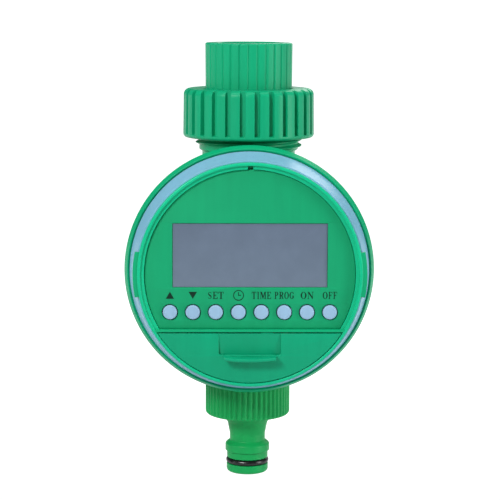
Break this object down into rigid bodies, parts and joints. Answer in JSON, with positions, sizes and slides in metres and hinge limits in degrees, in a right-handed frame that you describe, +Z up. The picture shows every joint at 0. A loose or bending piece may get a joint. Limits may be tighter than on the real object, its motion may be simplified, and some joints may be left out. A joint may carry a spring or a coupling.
{
  "type": "drip irrigation timer",
  "caption": "Round tap timer: ribbed coupling nut and threaded inlet, dial with display and push buttons, battery door, quick-connect hose outlet.",
  "frame": {"origin": "centre of the tap thread's mouth, at the top of the inlet adaptor", "axes": "+Z points up along the water pipe into the tap, the dial faces -Y, +X is to the right of someone reading the dial"},
  "size_m": [0.0962, 0.0718, 0.1721],
  "materials": {
    "green_shell": "satin",
    "green_fitting": "satin",
    "green_outlet": "satin",
    "light_blue_seal": "satin",
    "grey_display": "gloss",
    "display_glass": "clear",
    "button_plastic": "satin",
    "black_rubber": "matte",
    "white_ptfe": "matte",
    "white_acetal": "satin",
    "chrome_brass": "polished",
    "brass": "satin",
    "zinc_steel": "satin",
    "circuit_laminate": "satin",
    "black_epoxy": "matte",
    "grey_silicone": "matte",
    "black_insulation": "satin",
    "cell_sleeve": "gloss",
    "filter_nylon": "matte"
  },
  "bodies": {
    "valve_body": {"valve_housing": "green_shell", "rear_cover": "green_shell", "rear_cover_seal": "black_rubber", "rear_cover_screws": "zinc_steel", "union_seal": "black_rubber", "inlet_filter": "filter_nylon", "upper_ball_seat": "white_ptfe", "lower_ball_seat": "white_ptfe", "seat_retainer": "white_acetal", "gland_nut": "brass", "stem_o_rings": "black_rubber", "gearbox_base": "white_acetal", "gearbox_cover": "white_acetal", "gearbox_screws": "zinc_steel", "gear_motor": "zinc_steel", "idler_axle": "zinc_steel", "motor_leads": "black_insulation", "connector_board": "circuit_laminate", "pin_header": "black_epoxy"},
    "inlet_swivel": {"inlet_adaptor": "green_fitting", "tap_washer": "black_rubber"},
    "slip_ring": {"slip_ring": "white_acetal"},
    "coupling_nut": {"coupling_nut": "green_fitting"},
    "outlet_washer": {"outlet_washer": "black_rubber"},
    "outlet_fitting": {"outlet_fitting": "green_outlet", "nipple_o_ring": "black_rubber"},
    "valve_drive": {"valve_ball": "chrome_brass", "valve_stem": "brass", "output_gear": "white_acetal"},
    "idler_gear": {"idler_gear": "white_acetal"},
    "motor_drive": {"motor_pinion": "brass", "motor_shaft": "zinc_steel"},
    "control_module": {"control_case": "green_shell", "seal_ring": "light_blue_seal", "face_plate": "green_shell", "lcd_lens": "grey_display", "lcd_glass": "display_glass", "zebra_strips": "grey_silicone", "circuit_board": "circuit_laminate", "controller_chip": "black_epoxy", "board_components": "black_epoxy", "keypad_mat": "grey_silicone", "board_socket": "black_epoxy", "control_back": "green_shell", "control_screws": "zinc_steel", "front_cell": "cell_sleeve", "rear_cell": "cell_sleeve", "battery_contacts": "zinc_steel"},
    "battery_door": {"battery_door": "green_shell"},
    "button_up": {"button_up": "button_plastic"},
    "button_down": {"button_down": "button_plastic"},
    "button_set": {"button_set": "button_plastic"},
    "button_clock": {"button_clock": "button_plastic"},
    "button_time": {"button_time": "button_plastic"},
    "button_program": {"button_program": "button_plastic"},
    "button_on": {"button_on": "button_plastic"},
    "button_off": {"button_off": "button_plastic"}
  },
  "joints": [
    {"name": "inlet_swivel", "type": "hinge", "parent": "valve_body", "child": "inlet_swivel", "pos_m": [0, 0, -0.022], "axis": [0, 0, 1], "continuous": true},
    {"name": "slip_ring_lift", "type": "slide", "parent": "valve_body", "child": "slip_ring", "axis": [0, 0, 1], "range_m": [0, 0.00462]},
    {"name": "nut_turn", "type": "hinge", "parent": "slip_ring", "child": "coupling_nut", "pos_m": [0, 0, -0.027], "axis": [0, 0, 1], "range_deg": [0, 721]},
    {"name": "outlet_washer_drop", "type": "slide", "parent": "valve_body", "child": "outlet_washer", "axis": [0, 0, -1], "range_m": [0, 0.00363]},
    {"name": "outlet_fitting_turn", "type": "hinge", "parent": "outlet_washer", "child": "outlet_fitting", "pos_m": [0, 0, -0.14], "axis": [0, 0, -1], "range_deg": [0, 721]},
    {"name": "valve_turn", "type": "hinge", "parent": "valve_body", "child": "valve_drive", "pos_m": [0, -0.017, -0.0862], "axis": [0, -1, 0], "range_deg": [0, 90]},
    {"name": "idler_spin", "type": "hinge", "parent": "valve_body", "child": "idler_gear", "pos_m": [0.01585, -0.019, -0.0751], "axis": [0, -1, 0], "range_deg": [-275, 5]},
    {"name": "pinion_spin", "type": "hinge", "parent": "valve_body", "child": "motor_drive", "pos_m": [0.02675, -0.021, -0.08809], "axis": [0, -1, 0], "range_deg": [-5, 680]},
    {"name": "module_pull", "type": "slide", "parent": "valve_body", "child": "control_module", "axis": [0, -1, 0], "range_m": [0, 0.045]},
    {"name": "battery_door_hinge", "type": "hinge", "parent": "control_module", "child": "battery_door", "pos_m": [0, -0.041, -0.12735], "axis": [1, 0, 0], "range_deg": [0, 80]},
    {"name": "press_up", "type": "slide", "parent": "control_module", "child": "button_up", "axis": [0, 1, 0], "range_m": [0, 0.0008], "stiffness_N_per_m": 400, "springref_m": -0.0004},
    {"name": "press_down", "type": "slide", "parent": "control_module", "child": "button_down", "axis": [0, 1, 0], "range_m": [0, 0.0008], "stiffness_N_per_m": 400, "springref_m": -0.0004},
    {"name": "press_set", "type": "slide", "parent": "control_module", "child": "button_set", "axis": [0, 1, 0], "range_m": [0, 0.0008], "stiffness_N_per_m": 400, "springref_m": -0.0004},
    {"name": "press_clock", "type": "slide", "parent": "control_module", "child": "button_clock", "axis": [0, 1, 0], "range_m": [0, 0.0008], "stiffness_N_per_m": 400, "springref_m": -0.0004},
    {"name": "press_time", "type": "slide", "parent": "control_module", "child": "button_time", "axis": [0, 1, 0], "range_m": [0, 0.0008], "stiffness_N_per_m": 400, "springref_m": -0.0004},
    {"name": "press_program", "type": "slide", "parent": "control_module", "child": "button_program", "axis": [0, 1, 0], "range_m": [0, 0.0008], "stiffness_N_per_m": 400, "springref_m": -0.0004},
    {"name": "press_on", "type": "slide", "parent": "control_module", "child": "button_on", "axis": [0, 1, 0], "range_m": [0, 0.0008], "stiffness_N_per_m": 400, "springref_m": -0.0004},
    {"name": "press_off", "type": "slide", "parent": "control_module", "child": "button_off", "axis": [0, 1, 0], "range_m": [0, 0.0008], "stiffness_N_per_m": 400, "springref_m": -0.0004}
  ],
  "couplings": [
    {"joint": "nut_turn", "follows": "slip_ring_lift", "rad_per_m": 2721.2},
    {"joint": "outlet_fitting_turn", "follows": "outlet_washer_drop", "rad_per_m": 3463.7},
    {"joint": "idler_spin", "follows": "valve_turn", "ratio": -3},
    {"joint": "pinion_spin", "follows": "valve_turn", "ratio": 7.5}
  ]
}
